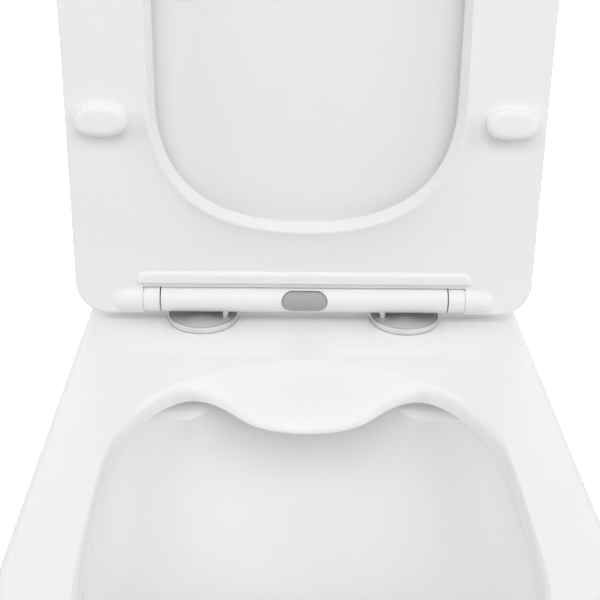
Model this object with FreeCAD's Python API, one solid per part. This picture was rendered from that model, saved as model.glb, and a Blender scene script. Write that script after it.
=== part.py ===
import FreeCAD, Part
import math
import os
from FreeCAD import Vector

# Wall-hung rimless toilet pan with a slim soft-close seat and lid, both raised.
# Millimetres. X is the user's right when facing the wall, Y runs into the wall, Z is up.
# The origin is on the wall face, midway between the two fixing studs.

os.makedirs("parts", exist_ok=True)

# Clearances
overrun = 1.0
running_gap = 0.05
free_gap = 0.3
bar_end_gap = 0.9
ear_gap = 0.3
fit_gap = 0.1

# Wall connections
stud_spacing = 180.0
stud_hole_diameter = 13.0
inlet_above_studs = 35.0
inlet_diameter = 55.0
inlet_depth = 62.0
outlet_below_studs = 100.0
outlet_diameter = 102.0
outlet_bore = 84.0
outlet_spigot_length = 66.0

# Ceramic pan
pan_width = 340.0
pan_projection = 505.0
pan_height = 335.0
deck_above_studs = 82.0
ceramic_wall = 12.0
deck_thickness = 15.0
pan_edge_radius = 5.0
round_share = 0.552
pan_straight_share = 0.32
pan_front_share = 0.29
pan_front_fullness_share = 0.6
pan_foot_width_share = 0.5
pan_foot_reach_share = 0.5
pan_foot_curve_share = 2.1
pan_level_shares = (0.0, 0.2, 0.4, 0.58, 0.74, 0.87, 0.95, 1.0)

# Bowl opening: crease on the deck, and the lip inside it with a hood at the rear
opening_half_width = 129.0
opening_length = 315.0
opening_from_hinge = 59.0
lip_depth = 13.5
crease_shares = ((0.0, 0.0), (0.279, 0.022), (0.465, 0.051), (0.628, 0.087), (0.783, 0.135),
                 (0.899, 0.2), (0.981, 0.305), (1.0, 0.432), (1.0, 0.59), (0.984, 0.756),
                 (0.899, 0.876), (0.667, 0.956), (0.349, 0.99), (0.0, 1.0))
lip_shares = ((0.0, 0.238), (0.287, 0.206), (0.481, 0.133), (0.636, 0.113), (0.76, 0.143),
              (0.86, 0.203), (0.95, 0.305), (0.977, 0.432), (0.973, 0.59), (0.946, 0.749),
              (0.864, 0.86), (0.64, 0.935), (0.333, 0.968), (0.0, 0.978))
lip_profile_shares = ((-0.05, -0.02), (0.0, 0.0), (0.1, 0.022), (0.45, 0.125), (0.82, 0.345),
                      (0.95, 0.58), (1.0, 0.93), (1.0, 1.08))

# Bowl below the lip, down to the sump
bowl_half_width = 133.0
bowl_from_hinge = 74.0
bowl_length = 298.0
bowl_depth = 272.5
bowl_level_shares = (0.0, 0.08, 0.25, 0.45, 0.65, 0.82, 0.93, 1.0)
bowl_width_shares = (1.0, 1.01, 0.95, 0.82, 0.62, 0.44, 0.34, 0.28)
bowl_rear_shares = (0.0, 0.0, 0.035, 0.13, 0.24, 0.3, 0.322, 0.33)
bowl_front_shares = (1.0, 1.0, 0.95, 0.84, 0.68, 0.58, 0.55, 0.54)
bowl_rear_round_share = 0.46
bowl_front_round_share = 0.46
bowl_fullness_share = 0.74
bowl_wall = 9.0

# Scoops in the bowl wall at both sides of the hood, where the flush water leaves
scoop_x = 70.3
scoop_from_hinge = 112.2
scoop_radius = 38.6
scoop_depth = 24.0
scoop_profile_shares = ((1.0, 0.0), (0.975, 0.17), (0.88, 0.4), (0.765, 0.61), (0.69, 0.81), (0.655, 1.0))

# Trap behind the sump
trap_bore = 68.0
trap_wall = 10.0
trap_bend_radius = 46.0
trap_run_shares = (1.0, 0.82, 0.43, 0.245, 0.0)
trap_drop_shares = (0.77, 0.865, 0.418)

# Flush channel from the inlet to the space under the hood
channel_half_width = 40.0
channel_height = 24.0
channel_wall = 10.0
inlet_wall = 10.5
inlet_seal_wall = 3.0
inlet_seal_length = 48.0

# Wall lugs, sleeves, washers, nuts and side access holes
lug_inner = 62.0
lug_height = 62.0
lug_depth = 18.0
sleeve_wall = 3.2
sleeve_flange = 4.0
sleeve_flange_depth = 2.0
washer_radius = 12.0
washer_depth = 2.5
nut_width = 19.0
nut_depth = 10.0
nut_bore_radius = 6.1
access_radius = 18.0
access_from_wall = 46.0
cap_flange = 3.0
cap_rise = 2.0
cap_skirt_depth = 9.0
cap_wall = 1.8

# Hinge line
hinge_to_wall = 90.0
hinge_above_deck = 20.0
open_angle = 97.0
bar_radius = 10.5
bar_wall = 1.8
bar_half_length = 109.8
bar_edge = 0.5

# Posts, base plates, discs and their fixings in the deck
disc_spacing = 158.0
disc_behind_axis = 5.8
disc_radius = 27.5
disc_height = 5.0
disc_edge_radius = 1.6
disc_shell = 0.9
gasket_depth = 0.8
plate_radius = 24.6
plate_depth = 3.0
post_inset = 17.8
post_radius = 2.7
post_neck_radius = 1.7
post_neck_height = 3.2
post_head_height = 3.6
post_tip_edge = 0.9
bolt_radius = 3.0
bolt_length = 38.0
bolt_head_radius = 6.0
bolt_socket_width = 4.0
bolt_socket_depth = 1.8
deck_hole_radius = 7.5
plug_length = 34.0
plug_bulge = 2.2
plug_bulge_height = 11.0
plug_nut_width = 8.0
plug_nut_height = 6.0

# Release button and latches
button_tilt = 12.0
button_half_length = 17.6
button_height = 16.0
button_travel = 4.0
button_inner = 5.5
button_proud = 0.1
button_tab_length = 2.2
button_tab_height = 4.0
button_tab_out = 8.1
wedge_half_width = 12.0
wedge_tip_half_width = 3.5
wedge_height = 6.0
latch_depth = 2.4
latch_half_width = 7.0
latch_tail_rear = 5.0
latch_tail_front = 0.8
latch_tail_end = 22.0
latch_end_margin = 7.3
spring_length = 9.0
spring_radius = 2.6
spring_wire = 0.7
spring_turns = 5
spring_peg_radius = 1.6
spring_peg_length = 2.5

# Soft-close dampers
damper_wall = 2.2
damper_floor = 2.5
damper_rib_angle = 24.0
damper_vane_angle = 20.0
damper_cap_depth = 3.6
seal_wire_radius = 0.95
hub_radius = 4.3
shaft_radius = 4.0
shaft_flats = 6.4
pin_radius = 3.0
damper_screw_radius = 1.4
damper_screw_head_radius = 2.5
damper_screw_head_depth = 1.2
damper_screw_length = 3.2

# Seat ring
seat_width = 350.0
seat_reach = 420.0
seat_rear = 11.0
seat_thickness = 17.5
seat_below_axis = 6.0
seat_corner = 24.0
seat_front_share = 0.345
seat_front_fullness_share = 0.6
seat_top_radius = 5.0
seat_under_radius = 3.0
seat_opening_half_width = 110.7
seat_opening_rear = 60.2
seat_opening_front = 338.0
seat_opening_rear_round = 92.0
seat_opening_front_round = 120.0
seat_opening_rear_fullness_share = 0.66
seat_opening_front_fullness_share = 0.6
seat_opening_flare = 3.4
seat_opening_profile_shares = ((1.05, -0.05), (1.0, 0.02), (0.6, 0.3), (0.18, 0.58), (0.0, 0.75),
                               (0.1, 0.85), (0.45, 0.935), (1.2, 0.99), (1.75, 1.015))
drip_lip_rise = 5.0
drip_lip_width = 30.0
drip_lip_profile_shares = ((1.15, -0.2), (1.0, 0.0), (0.66, 0.09), (0.36, 0.33), (0.15, 0.7), (0.05, 1.0))
notch_front = 11.2
ridge_half_length = 127.7
ridge_rear = 14.8
ridge_front = 23.8
ridge_rise = 3.6
ridge_end_round = 6.0
ridge_round = 3.2
ridge_edge = 1.0
lid_ear_width = 12.4
seat_ear_length = 14.0
seat_ear_blend = 4.8

# Seat buffers
buffer_length = 37.0
buffer_width = 23.0
buffer_round = 5.5
buffer_fullness_share = 0.68
buffer_stem_radius = 4.0
buffer_stem_length = 6.0
buffer_rear_x = 147.6
buffer_rear_reach = 139.5
buffer_front_x = 145.0
buffer_front_reach = 298.0

# Lid
lid_gap = 1.6
lid_thickness = 12.4
lid_top_radius = 4.5
lid_under_radius = 2.0
lid_recess_depth = 4.4
lid_recess_rear = 34.0
lid_recess_inset = 26.0
lid_recess_profile_shares = ((0.5, -0.1), (0.55, 0.12), (0.68, 0.6), (0.85, 0.94), (1.2, 1.0))
lid_ear_web = 16.0
lid_pad_radius = 6.0
lid_pad_x = 140.0
lid_pad_reaches = (60.0, 320.0)
lid_pad_stem_radius = 2.5
lid_pad_stem_length = 4.0

# Places worked out from the sizes above
deck_z = deck_above_studs
inlet_z = inlet_above_studs
outlet_z = -outlet_below_studs
hinge_y = -hinge_to_wall
hinge_z = deck_z + hinge_above_deck
disc_y = hinge_y + disc_behind_axis
bar_bore_radius = bar_radius - bar_wall
lid_ear_in = bar_half_length + bar_end_gap
lid_ear_out = lid_ear_in + lid_ear_width
seat_ear_in = lid_ear_out + ear_gap
seat_ear_out = seat_ear_in + seat_ear_length
seat_under = -seat_below_axis
seat_top = seat_under + seat_thickness
lid_under = seat_top + lid_gap
lid_top = lid_under + lid_thickness
along_x = Vector(1, 0, 0)
into_wall = Vector(0, 1, 0)
up = Vector(0, 0, 1)
axis_centre = Vector(0, hinge_y, hinge_z)


def at(x, reach, height):
    """A point by its distance in front of and above the hinge axis."""
    return Vector(x, hinge_y - reach, hinge_z + height)


def block(corner, other):
    low = Vector(min(corner.x, other.x), min(corner.y, other.y), min(corner.z, other.z))
    size = Vector(abs(corner.x - other.x), abs(corner.y - other.y), abs(corner.z - other.z))
    return Part.makeBox(size.x, size.y, size.z, low)


def rod(start, end, radius):
    return Part.makeCylinder(radius, (end - start).Length, start, end - start)


def axle(x_start, x_end, radius):
    return rod(at(x_start, 0, 0), at(x_end, 0, 0), radius)


def pillar(x, y, z_low, z_high, radius):
    return rod(Vector(x, y, z_low), Vector(x, y, z_high), radius)


def hexagon(centre, direction, width, depth):
    turn = FreeCAD.Rotation(up, direction)
    corner = width / math.sqrt(3)
    points = []
    for i in range(7):
        angle = math.radians(60 * i)
        points.append(centre + turn.multVec(Vector(corner * math.cos(angle), corner * math.sin(angle), 0)))
    return Part.Face(Part.makePolygon(points)).extrude(direction * depth)


def prism(corners, low, height):
    """A prism standing on corners given by x and distance in front of the hinge axis."""
    points = [at(x, reach, low) for x, reach in corners]
    return Part.Face(Part.makePolygon(points + points[:1])).extrude(up * height)


def mirrored(shape):
    return shape.mirror(Vector(0, 0, 0), along_x)


def pair(shape):
    return Part.makeCompound([shape, mirrored(shape)])


def soft_loop(corners, z):
    """A closed loop whose corners are curves; each corner gives x, y, its reaches and its fullness."""
    starts, ends, curves = [], [], []
    for i, (x, y, before, after, fullness) in enumerate(corners):
        corner = Vector(x, y, z)
        earlier = Vector(corners[i - 1][0], corners[i - 1][1], z) - corner
        later = Vector(corners[(i + 1) % len(corners)][0], corners[(i + 1) % len(corners)][1], z) - corner
        start = corner + earlier.normalize() * before
        end = corner + later.normalize() * after
        curve = Part.BezierCurve()
        curve.setPoles([start, start + (corner - start) * fullness, end + (corner - end) * fullness, end])
        starts.append(start)
        ends.append(end)
        curves.append(curve.toShape())
    edges = []
    for i, curve in enumerate(curves):
        edges.append(curve)
        following = starts[(i + 1) % len(starts)]
        if not following.isEqual(ends[i], fit_gap):
            edges.append(Part.makeLine(ends[i], following))
    return Part.Wire(edges)


def d_shape(half_width, rear_y, front_y, front_depth, fullness, corner, z):
    return soft_loop([(-half_width, rear_y, corner, corner, round_share),
                      (-half_width, front_y, front_depth, half_width, fullness),
                      (half_width, front_y, half_width, front_depth, fullness),
                      (half_width, rear_y, corner, corner, round_share)], z)


def oval(half_width, rear_y, front_y, rear_round, front_round, rear_full, front_full, z):
    return soft_loop([(-half_width, rear_y, half_width, rear_round, rear_full),
                      (-half_width, front_y, front_round, half_width, front_full),
                      (half_width, front_y, half_width, front_round, front_full),
                      (half_width, rear_y, rear_round, half_width, rear_full)], z)


def slab(wire, height):
    return Part.Face(wire).extrude(up * height)


def rim_edges(solid, z):
    return [e for e in solid.Edges if abs(e.BoundBox.ZMin - z) < fit_gap and e.BoundBox.ZLength < fit_gap]


def bent_path(points, radius):
    """Straight runs in the YZ plane joined by arcs."""
    edges = []
    here = points[0]
    for i in range(1, len(points) - 1):
        back = (points[i - 1] - points[i]).normalize()
        ahead = (points[i + 1] - points[i]).normalize()
        half_turn = (math.pi - back.getAngle(ahead)) / 2
        reach = radius * math.tan(half_turn)
        first = points[i] + back * reach
        last = points[i] + ahead * reach
        middle = points[i] + (back + ahead).normalize() * (radius / math.cos(half_turn) - radius)
        edges.append(Part.makeLine(here, first))
        edges.append(Part.Arc(first, middle, last).toShape())
        here = last
    edges.append(Part.makeLine(here, points[-1]))
    return Part.Wire(edges)


def tube_along(path, radius):
    start = path.Edges[0]
    ring = Part.Wire(Part.makeCircle(radius, start.valueAt(start.FirstParameter),
                                     start.tangentAt(start.FirstParameter)))
    return path.makePipeShell([ring], True, True)


def ring_sector(x_start, x_end, inner, outer, middle_angle, angle):
    face = Part.Face(Part.makePolygon([at(x_start, 0, inner), at(x_end, 0, inner), at(x_end, 0, outer),
                                       at(x_start, 0, outer), at(x_start, 0, inner)]))
    solid = face.revolve(axis_centre, along_x, angle)
    solid.rotate(axis_centre, along_x, middle_angle - angle / 2)
    return solid


def flatted(x_start, x_end, radius, flats):
    width = block(at(x_start, -flats / 2, -radius), at(x_end, flats / 2, radius))
    return axle(x_start, x_end, radius).common(width)


def save(shape, name):
    shape.exportStep("parts/" + name + ".step")


# Ceramic pan: the outer shell, and the room inside it for the bowl, trap and channel


def pan_section(level, inset, top_z, foot_z, rear_y):
    width_share, reach_share = 1.0, 1.0
    if level > pan_straight_share:
        drop = (level - pan_straight_share) / (1.0 - pan_straight_share)
        curve = max(0.0, 1.0 - drop ** pan_foot_curve_share) ** (1.0 / pan_foot_curve_share)
        width_share = pan_foot_width_share + (1.0 - pan_foot_width_share) * curve
        reach_share = pan_foot_reach_share + (1.0 - pan_foot_reach_share) * curve
    half_width = pan_width / 2 * width_share - inset
    front = pan_projection * reach_share - inset
    return d_shape(half_width, rear_y, -front, pan_projection * reach_share * pan_front_share,
                   pan_front_fullness_share, pan_edge_radius, top_z + (foot_z - top_z) * level)


def pan_form(inset, top_z, foot_z, rear_y):
    shares = [pan_straight_share + (1.0 - pan_straight_share) * s for s in pan_level_shares]
    lower = Part.makeLoft([pan_section(s, inset, top_z, foot_z, rear_y) for s in shares], True)
    top = pan_section(0.0, inset, top_z, foot_z, rear_y)
    upper = Part.Face(top).extrude(up * ((foot_z - top_z) * pan_straight_share))
    return upper, lower


pan_foot_z = deck_z - pan_height
deck_under = deck_z - deck_thickness
behind_wall = pan_edge_radius + overrun
upper, lower = pan_form(0, deck_z, pan_foot_z, 0)
upper = upper.makeFillet(pan_edge_radius, rim_edges(upper, deck_z))
hollow_upper, hollow_lower = pan_form(ceramic_wall, deck_under, pan_foot_z + ceramic_wall, behind_wall)
lug = block(Vector(lug_inner, 0, -lug_height / 2),
            Vector(pan_width / 2 - ceramic_wall / 2, -lug_depth, lug_height / 2))
shell = upper.fuse(lower).cut(hollow_upper.fuse(hollow_lower)).fuse([lug, mirrored(lug)])
room_upper, room_lower = pan_form(ceramic_wall + fit_gap, deck_under, pan_foot_z + ceramic_wall + fit_gap,
                                  behind_wall)
room = room_upper.fuse(room_lower)

# Ceramic pan: forms of the bowl, trap and channel


def bowl_form(grow, top_z):
    """The bowl as a solid, wider and lower by a wall thickness, from a given top down."""
    wires = []
    for level, width, rear, front in zip(bowl_level_shares, bowl_width_shares, bowl_rear_shares,
                                         bowl_front_shares):
        rear_y = hinge_y - bowl_from_hinge - bowl_length * rear + grow
        front_y = hinge_y - bowl_from_hinge - bowl_length * front - grow
        length = rear_y - front_y
        z = bowl_top - bowl_depth * level - grow if level else top_z
        wires.append(oval(bowl_half_width * width + grow, rear_y, front_y, length * bowl_rear_round_share,
                          length * bowl_front_round_share, bowl_fullness_share, bowl_fullness_share, z))
    scoop_rings = []
    for width, level in scoop_profile_shares:
        z = bowl_top - scoop_depth * level - grow if level else top_z
        scoop_rings.append(Part.Wire(Part.makeCircle(scoop_radius * width + grow,
                                                     Vector(scoop_x, hinge_y - scoop_from_hinge, z))))
    scoop = Part.makeLoft(scoop_rings, True)
    return Part.makeLoft(wires, True).fuse([scoop, mirrored(scoop)])


bowl_top = deck_z - lip_depth
bowl_space = bowl_form(0, bowl_top)
bowl_clear = bowl_form(bowl_wall + fit_gap, deck_under)

sump_share = (bowl_rear_shares[-1] + bowl_front_shares[-1]) / 2
sump_y = hinge_y - bowl_from_hinge - bowl_length * sump_share
trap_heights = [deck_z - pan_height * s for s in trap_drop_shares] + [outlet_z, outlet_z]
trap_points = [Vector(0, sump_y * run, height) for run, height in zip(trap_run_shares, trap_heights)]
trap_path = bent_path(trap_points, trap_bend_radius)
trap_outside = trap_bore / 2 + trap_wall
trap_space = tube_along(trap_path, trap_bore / 2).fuse(Part.makeSphere(trap_bore / 2, trap_points[0]))
outlet_in = Vector(0, -outlet_spigot_length, outlet_z)
outlet_face = Vector(0, 0, outlet_z)
spigot = rod(outlet_in, outlet_face, outlet_diameter / 2)
spigot_space = rod(outlet_in + into_wall * trap_wall, outlet_face + into_wall * overrun, outlet_bore / 2)

inlet_face = Vector(0, 0, inlet_z)
inlet_end = Vector(0, -inlet_depth, inlet_z)
seal_outside = inlet_diameter / 2 + inlet_seal_wall
inlet_body = rod(inlet_end - into_wall * inlet_wall, inlet_face, seal_outside + inlet_wall)
inlet_space = rod(inlet_end, inlet_face + into_wall * overrun, seal_outside + fit_gap)
channel_rear = -inlet_depth + channel_wall
channel_front = hinge_y - bowl_from_hinge
channel_body = block(Vector(-channel_half_width - channel_wall, channel_rear,
                            bowl_top - channel_height - channel_wall),
                     Vector(channel_half_width + channel_wall, channel_front, deck_under))
channel_space = block(Vector(-channel_half_width, channel_rear, bowl_top - channel_height),
                      Vector(channel_half_width, channel_front - ceramic_wall * 2, bowl_top))

# Ceramic pan: mouth and holes


def lip_section(blend, z):
    """One level of the mouth, from the crease on the deck (0) to the lip (1)."""
    points = []
    rear_y = hinge_y - opening_from_hinge
    for crease, lip in zip(crease_shares, lip_shares):
        x = crease[0] + (lip[0] - crease[0]) * blend
        reach = crease[1] + (lip[1] - crease[1]) * blend
        points.append(Vector(opening_half_width * x, rear_y - opening_length * reach, z))
    before = [Vector(-p.x, p.y, z) for p in points[5:0:-1]]
    after = [Vector(-p.x, p.y, z) for p in points[-2:-7:-1]]
    curve = Part.BSplineCurve()
    curve.interpolate(before + points + after)
    right = curve.toShape(curve.parameter(points[0]), curve.parameter(points[-1]))
    return Part.Wire([right, mirrored(right)])


mouth_levels = [lip_section(blend, deck_z - lip_depth * level) for blend, level in lip_profile_shares]
mouth = Part.makeLoft(mouth_levels, True)

stud_x = stud_spacing / 2
stud_hole = stud_hole_diameter / 2
sleeve_radius = stud_hole + sleeve_wall
stud_cut = rod(Vector(stud_x, -lug_depth - overrun, 0), Vector(stud_x, overrun, 0), sleeve_radius + fit_gap)
access_cut = rod(Vector(pan_width / 2 - ceramic_wall - overrun, -access_from_wall, 0),
                 Vector(pan_width / 2 + overrun, -access_from_wall, 0), access_radius)
deck_cut = pillar(disc_spacing / 2, disc_y, deck_z - deck_thickness - overrun, deck_z + overrun,
                  deck_hole_radius)
shell_cuts = [mouth, bowl_space, channel_space]
for cut in (stud_cut, access_cut, deck_cut):
    shell_cuts += [cut, mirrored(cut)]
for cut in shell_cuts:
    shell = shell.cut(cut)
save(shell, "pan_shell")

# Ceramic pan: bowl, trap and flush channel, each cast on its own and set against the others

bowl = bowl_form(bowl_wall, deck_under).fuse(Part.makeSphere(trap_outside, trap_points[0])).common(room)
for cut in (bowl_space, trap_space, channel_space):
    bowl = bowl.cut(cut)
save(bowl, "pan_bowl")

trap = tube_along(trap_path, trap_outside).fuse(spigot).common(room)
sump_clear = Part.makeSphere(trap_outside + fit_gap, trap_points[0])
for cut in (bowl_clear, sump_clear, trap_space, spigot_space):
    trap = trap.cut(cut)
save(trap, "pan_trap")

channel = channel_body.fuse(inlet_body).common(room)
for cut in (bowl_clear, channel_space, inlet_space):
    channel = channel.cut(cut)
save(channel, "flush_channel")

inlet_seal = rod(inlet_face - into_wall * inlet_seal_length, inlet_face, seal_outside)
inlet_seal = inlet_seal.cut(rod(inlet_end, inlet_face + into_wall * overrun, inlet_diameter / 2))
save(inlet_seal, "inlet_seal")

# Wall fixings

flange_y = -lug_depth - sleeve_flange_depth
washer_y = flange_y - washer_depth
sleeve = rod(Vector(stud_x, -lug_depth, 0), Vector(stud_x, 0, 0), sleeve_radius)
sleeve = sleeve.fuse(rod(Vector(stud_x, flange_y, 0), Vector(stud_x, -lug_depth, 0),
                         sleeve_radius + sleeve_flange))
sleeve = sleeve.cut(rod(Vector(stud_x, flange_y - overrun, 0), Vector(stud_x, overrun, 0), stud_hole))
save(pair(sleeve), "stud_sleeves")

washer = rod(Vector(stud_x, washer_y, 0), Vector(stud_x, flange_y, 0), washer_radius)
washer = washer.cut(rod(Vector(stud_x, washer_y - overrun, 0), Vector(stud_x, overrun, 0), stud_hole))
save(pair(washer), "stud_washers")

nut = hexagon(Vector(stud_x, washer_y, 0), -into_wall, nut_width, nut_depth)
nut = nut.cut(rod(Vector(stud_x, washer_y - nut_depth - overrun, 0), Vector(stud_x, overrun, 0),
                  nut_bore_radius))
save(pair(nut), "stud_nuts")

cap_x = pan_width / 2
cap_y = -access_from_wall
skirt_radius = access_radius - fit_gap
cap = rod(Vector(cap_x, cap_y, 0), Vector(cap_x + cap_rise, cap_y, 0), access_radius + cap_flange)
cap = cap.makeFillet(cap_rise / 2, [e for e in cap.Edges if e.BoundBox.XMin > cap_x + cap_rise / 2])
cap = cap.fuse(rod(Vector(cap_x - cap_skirt_depth, cap_y, 0), Vector(cap_x, cap_y, 0), skirt_radius))
cap = cap.cut(rod(Vector(cap_x - cap_skirt_depth - overrun, cap_y, 0), Vector(cap_x, cap_y, 0),
                  skirt_radius - cap_wall))
save(cap, "access_cap_right")
save(mirrored(cap), "access_cap_left")

# Hinge posts on the deck, right side first

disc_x = disc_spacing / 2
post_x = disc_x - post_inset
plate_low = deck_z + gasket_depth
plate_high = plate_low + plate_depth
neck_low = hinge_z - post_neck_height / 2
neck_high = hinge_z + post_neck_height / 2
post_top = neck_high + post_head_height

gasket = pillar(disc_x, disc_y, deck_z, plate_low, plate_radius)
gasket = gasket.cut(pillar(disc_x, disc_y, deck_z - overrun, plate_low + overrun, bolt_radius + free_gap))
save(pair(gasket), "hinge_gaskets")

head = pillar(post_x, hinge_y, neck_high, post_top, post_radius)
head = head.makeChamfer(post_tip_edge, rim_edges(head, post_top))
post = pillar(disc_x, disc_y, plate_low, plate_high, plate_radius)
post = post.fuse([pillar(post_x, hinge_y, plate_low, neck_low, post_radius),
                  pillar(post_x, hinge_y, neck_low, neck_high, post_neck_radius), head])
countersink = Part.makeCone(bolt_radius + fit_gap, bolt_head_radius + fit_gap, plate_depth,
                            Vector(disc_x, disc_y, plate_low))
post = post.cut(countersink)
save(post, "hinge_post_right")
save(mirrored(post), "hinge_post_left")

disc = pillar(disc_x, disc_y, deck_z, deck_z + disc_height, disc_radius)
disc = disc.makeFillet(disc_edge_radius, rim_edges(disc, deck_z + disc_height))
disc = disc.cut(pillar(disc_x, disc_y, deck_z - overrun, deck_z + disc_height - disc_shell,
                       disc_radius - disc_shell))
disc = disc.cut(pillar(post_x, hinge_y, deck_z, hinge_z, post_radius + fit_gap))
save(disc, "hinge_disc_right")
save(mirrored(disc), "hinge_disc_left")

bolt = Part.makeCone(bolt_radius, bolt_head_radius, plate_depth, Vector(disc_x, disc_y, plate_low))
bolt = bolt.fuse(pillar(disc_x, disc_y, plate_high - bolt_length, plate_low, bolt_radius))
bolt = bolt.cut(hexagon(Vector(disc_x, disc_y, plate_high), -up, bolt_socket_width, bolt_socket_depth))
save(pair(bolt), "seat_bolts")

plug_low = deck_z - plug_length
bulge_top = deck_z - deck_thickness - free_gap
plug = pillar(disc_x, disc_y, plug_low, deck_z, deck_hole_radius - fit_gap)
plug = plug.fuse(pillar(disc_x, disc_y, bulge_top - plug_bulge_height, bulge_top,
                        deck_hole_radius + plug_bulge))
plug = plug.cut(pillar(disc_x, disc_y, plug_low - overrun, deck_z + overrun, bolt_radius + fit_gap))
plug = plug.cut(hexagon(Vector(disc_x, disc_y, plug_low), up, plug_nut_width + fit_gap * 2,
                        plug_nut_height))
save(pair(plug), "deck_plugs")

plug_nut = hexagon(Vector(disc_x, disc_y, plug_low), up, plug_nut_width, plug_nut_height - fit_gap)
plug_nut = plug_nut.cut(pillar(disc_x, disc_y, plug_low - overrun, deck_z, bolt_radius + running_gap))
save(pair(plug_nut), "plug_nuts")

# Release button: a wedge on its inner side spreads the two latches


def button_frame(shape):
    shape.rotate(axis_centre, along_x, -button_tilt)
    return shape


def stadium(half_length, height, low, high):
    """A stadium prism that stands out towards the user between two distances from the axis."""
    radius = height / 2
    flat = half_length - radius
    prism = block(at(-flat, low, -radius), at(flat, high, radius))
    for x in (-flat, flat):
        prism = prism.fuse(rod(at(x, low, 0), at(x, high, 0), radius))
    return prism.removeSplitter()


button = stadium(button_half_length - free_gap, button_height - free_gap * 2, button_inner,
                 bar_radius + overrun)
button = button.common(axle(-bar_half_length, bar_half_length, bar_radius + button_proud))
tab = block(at(-button_half_length - button_tab_length, button_inner, -button_tab_height / 2),
            at(button_half_length + button_tab_length, button_tab_out, button_tab_height / 2))
wedge_depth = wedge_half_width - wedge_tip_half_width
wedge = prism([(-wedge_half_width, button_inner), (wedge_half_width, button_inner),
               (wedge_tip_half_width, button_inner - wedge_depth),
               (-wedge_tip_half_width, button_inner - wedge_depth)], -wedge_height / 2, wedge_height)
button = button_frame(button.fuse([tab, wedge]).removeSplitter())
save(button, "release_button")

# Latches: keyhole plates round the post necks

latch_end = post_x + post_radius + latch_end_margin
latch = block(at(latch_tail_end, -latch_half_width, -latch_depth / 2),
              at(latch_end, latch_half_width, latch_depth / 2))
tail = block(at(0, -latch_tail_rear, -latch_depth / 2), at(latch_tail_end, latch_tail_front, latch_depth / 2))
reach_in = wedge_half_width - button_inner - latch_half_width * 2
reach_out = wedge_half_width - button_inner + bar_radius
tail_cut = prism([(-bar_radius, bar_radius), (reach_out + free_gap, bar_radius),
                  (reach_in + free_gap, -latch_half_width * 2), (-bar_radius, -latch_half_width * 2)],
                 -wedge_height, wedge_height * 2)
tail = tail.cut(button_frame(tail_cut))
pass_x = post_x - button_travel
keyhole = pillar(pass_x, hinge_y, hinge_z - latch_depth, hinge_z + latch_depth, post_radius + free_gap)
slot = post_neck_radius + free_gap
keyhole = keyhole.fuse([pillar(post_x, hinge_y, hinge_z - latch_depth, hinge_z + latch_depth, slot),
                        block(at(pass_x, -slot, -latch_depth), at(post_x, slot, latch_depth))])
latch = latch.fuse(tail).cut(keyhole)
latch = latch.fuse(axle(latch_end, latch_end + spring_peg_length, spring_peg_radius).common(
    block(at(latch_end, -spring_peg_radius, -latch_depth / 2),
          at(latch_end + spring_peg_length, spring_peg_radius, latch_depth / 2))))
save(latch, "latch_right")
save(mirrored(latch), "latch_left")

damper_in = latch_end + spring_length
coil_length = spring_length - spring_wire - fit_gap * 2
coil_pitch = coil_length / spring_turns
helix = Part.makeHelix(coil_pitch, coil_length, spring_radius)
coil_slope = Vector(0, math.tau * spring_radius, coil_pitch)
coil_ring = Part.Wire(Part.makeCircle(spring_wire / 2, Vector(spring_radius, 0, 0), coil_slope))
spring = Part.Wire(helix).makePipeShell([coil_ring], True, True)
spring.rotate(Vector(0, 0, 0), into_wall, 90)
spring.translate(at(latch_end + spring_wire / 2 + fit_gap, 0, 0))
save(spring, "latch_spring_right")
save(mirrored(spring), "latch_spring_left")

# Dampers in the ends of the bar, right side first

damper_out = bar_half_length
damper_radius = bar_bore_radius - fit_gap
damper_bore = damper_radius - damper_wall
cap_in = damper_out - damper_cap_depth
seal_x = cap_in - seal_wire_radius - fit_gap
chamber_in = damper_in + damper_floor
chamber_out = seal_x - seal_wire_radius - fit_gap
screw_x = (chamber_in + chamber_out) / 2

housing = axle(damper_in, damper_out, damper_radius).cut(axle(chamber_in, damper_out + overrun, damper_bore))
for middle in (0, 180):
    housing = housing.fuse(ring_sector(chamber_in, chamber_out, hub_radius + free_gap,
                                       damper_bore + damper_wall / 2, middle, damper_rib_angle))
screw_hole = rod(at(screw_x, -damper_bore, 0), at(screw_x, -bar_radius - overrun, 0),
                 damper_screw_radius + running_gap)
screw_sink = rod(at(screw_x, -bar_radius + damper_screw_head_depth, 0), at(screw_x, -bar_radius - overrun, 0),
                 damper_screw_head_radius + fit_gap)
housing = housing.cut(screw_hole)
save(housing, "damper_housing_right")
save(mirrored(housing), "damper_housing_left")

damper_cap = axle(cap_in, damper_out, damper_bore - running_gap).cut(
    axle(cap_in - overrun, damper_out + overrun, shaft_radius + running_gap))
save(pair(damper_cap), "damper_caps")

seal_middle = (hub_radius + damper_bore) / 2
seal = Part.makeTorus(seal_middle, seal_wire_radius, at(seal_x, 0, 0), along_x)
save(pair(seal), "damper_seals")

screw = rod(at(screw_x, -bar_radius + damper_screw_length, 0), at(screw_x, -bar_radius, 0),
            damper_screw_radius)
screw_head = rod(at(screw_x, -bar_radius + damper_screw_head_depth, 0), at(screw_x, -bar_radius, 0),
                 damper_screw_head_radius)
save(pair(screw.fuse(screw_head)), "damper_screws")

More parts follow.
